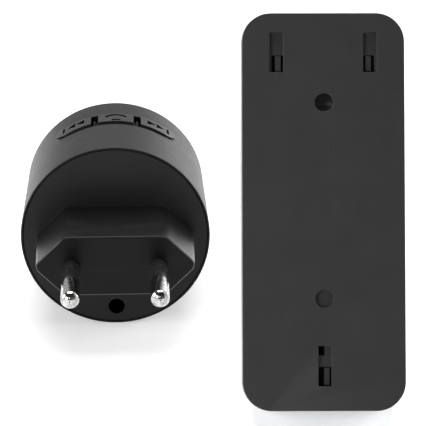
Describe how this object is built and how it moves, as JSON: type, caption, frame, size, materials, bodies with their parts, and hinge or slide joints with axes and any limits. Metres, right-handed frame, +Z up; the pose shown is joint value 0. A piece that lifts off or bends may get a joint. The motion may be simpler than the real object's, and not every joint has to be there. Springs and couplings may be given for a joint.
{
  "type": "ultrasonic pest repeller",
  "caption": "Ultrasonic pest repeller in two pieces: a round plug-in emitter with control buttons on its rim, and a flat battery wall emitter with a pull-off back cover.",
  "frame": {"origin": "centre of the plug's engagement face, midway between the two pins", "axes": "+Y runs along the round unit's axis from the plug into the housing, the pins point to -Y; +Z is up with the button row on top; +X is to the right seen from the pin side, where the flat wall unit stands"},
  "size_m": [0.0818, 0.0921, 0.0805],
  "materials": {
    "unit_black": "fine-textured moulded ABS",
    "plate_black": "fine-textured moulded ABS",
    "carrier_black": "plain moulded ABS",
    "key_black": "smooth moulded ABS",
    "nickel": "bright nickel plate on brass",
    "sleeve_black": "satin insulating plastic",
    "screw_steel": "zinc plated",
    "copper": "bare strip",
    "mesh_steel": "fine dust mesh",
    "foam": "closed-cell foam",
    "cone_foil": "thin satin foil",
    "piezo_brass": "bare disc",
    "lead_red": "PVC insulation",
    "board_green": "solder mask",
    "ferrite": "ground ferrite",
    "winding_tape": "polyester tape",
    "capacitor_jacket": "shrink sleeve",
    "film_box": "potted box",
    "chip_epoxy": "moulded epoxy",
    "resistor_coat": "lacquered",
    "flex_amber": "polyimide film",
    "switch_steel": "pressed cover",
    "stem_black": "moulded",
    "led_clear": "clear epoxy",
    "lens_clear": "clear acrylic",
    "shell_silver": "satin silver-grey moulding",
    "cover_black": "fine spark-eroded texture",
    "button_silver": "satin moulding",
    "cell_jacket": "printed foil jacket",
    "contact_nickel": "nickel plated strip"
  },
  "bodies": {
    "plug_unit": {"front_housing": "unit_black", "front_grille": "plate_black", "grille_mesh": "mesh_steel", "transducer_gasket": "foam", "transducer_frame": "carrier_black", "transducer_cone": "cone_foil", "piezo_disc": "piezo_brass", "speaker_leads": "lead_red", "main_board": "board_green", "transformer_core": "ferrite", "transformer_bobbin": "winding_tape", "mains_capacitor": "capacitor_jacket", "output_capacitor": "capacitor_jacket", "film_capacitor": "film_box", "bridge_rectifier": "chip_epoxy", "fuse_resistor": "resistor_coat", "control_chip": "chip_epoxy", "button_carrier": "carrier_black", "switch_flex": "flex_amber", "tact_switches": "switch_steel", "status_led": "led_clear", "light_pipe": "lens_clear", "rear_plate": "plate_black", "rear_screw": "screw_steel", "pin_left": "nickel", "pin_right": "nickel", "pin_sleeve_left": "sleeve_black", "pin_sleeve_right": "sleeve_black", "contact_left": "copper", "contact_right": "copper"},
    "back_key": {"button_back": "key_black", "stem_back": "stem_black"},
    "mode_key": {"button_mode": "key_black", "stem_mode": "stem_black"},
    "forward_key": {"button_forward": "key_black", "stem_forward": "stem_black"},
    "wall_unit": {"wall_shell": "shell_silver", "wall_chassis": "carrier_black", "wall_board": "board_green", "wall_chip": "chip_epoxy", "wall_mesh": "mesh_steel", "wall_transducer": "cone_foil", "wall_switch": "switch_steel", "wall_led": "led_clear", "wall_light_pipe": "lens_clear", "cell_left": "cell_jacket", "cell_right": "cell_jacket", "contacts_top": "contact_nickel", "contact_bottom": "contact_nickel"},
    "wall_back": {"wall_cover": "cover_black"},
    "wall_key": {"wall_button": "button_silver", "wall_stem": "stem_black"}
  },
  "joints": [
    {"name": "wall_unit_lift", "type": "slide", "parent": "plug_unit", "child": "wall_unit", "axis": [0, 0, 1], "range_m": [0, 0.03]},
    {"name": "back_key_press", "type": "slide", "parent": "plug_unit", "child": "back_key", "axis": [0.4493, 0, -0.8934], "range_m": [0, 0.0004], "stiffness_N_per_m": 400, "springref_m": -0.0005},
    {"name": "mode_key_press", "type": "slide", "parent": "plug_unit", "child": "mode_key", "axis": [-0.0183, 0, -0.9998], "range_m": [0, 0.0004], "stiffness_N_per_m": 400, "springref_m": -0.0005},
    {"name": "forward_key_press", "type": "slide", "parent": "plug_unit", "child": "forward_key", "axis": [-0.4818, 0, -0.8763], "range_m": [0, 0.0004], "stiffness_N_per_m": 400, "springref_m": -0.0005},
    {"name": "wall_cover_pull", "type": "slide", "parent": "wall_unit", "child": "wall_back", "axis": [-0.0295, -0.9131, 0.4067], "range_m": [0, 0.015]},
    {"name": "wall_key_press", "type": "slide", "parent": "wall_unit", "child": "wall_key", "axis": [-0.0295, -0.9131, 0.4067], "range_m": [0, 0.0004], "stiffness_N_per_m": 400, "springref_m": -0.0005}
  ]
}
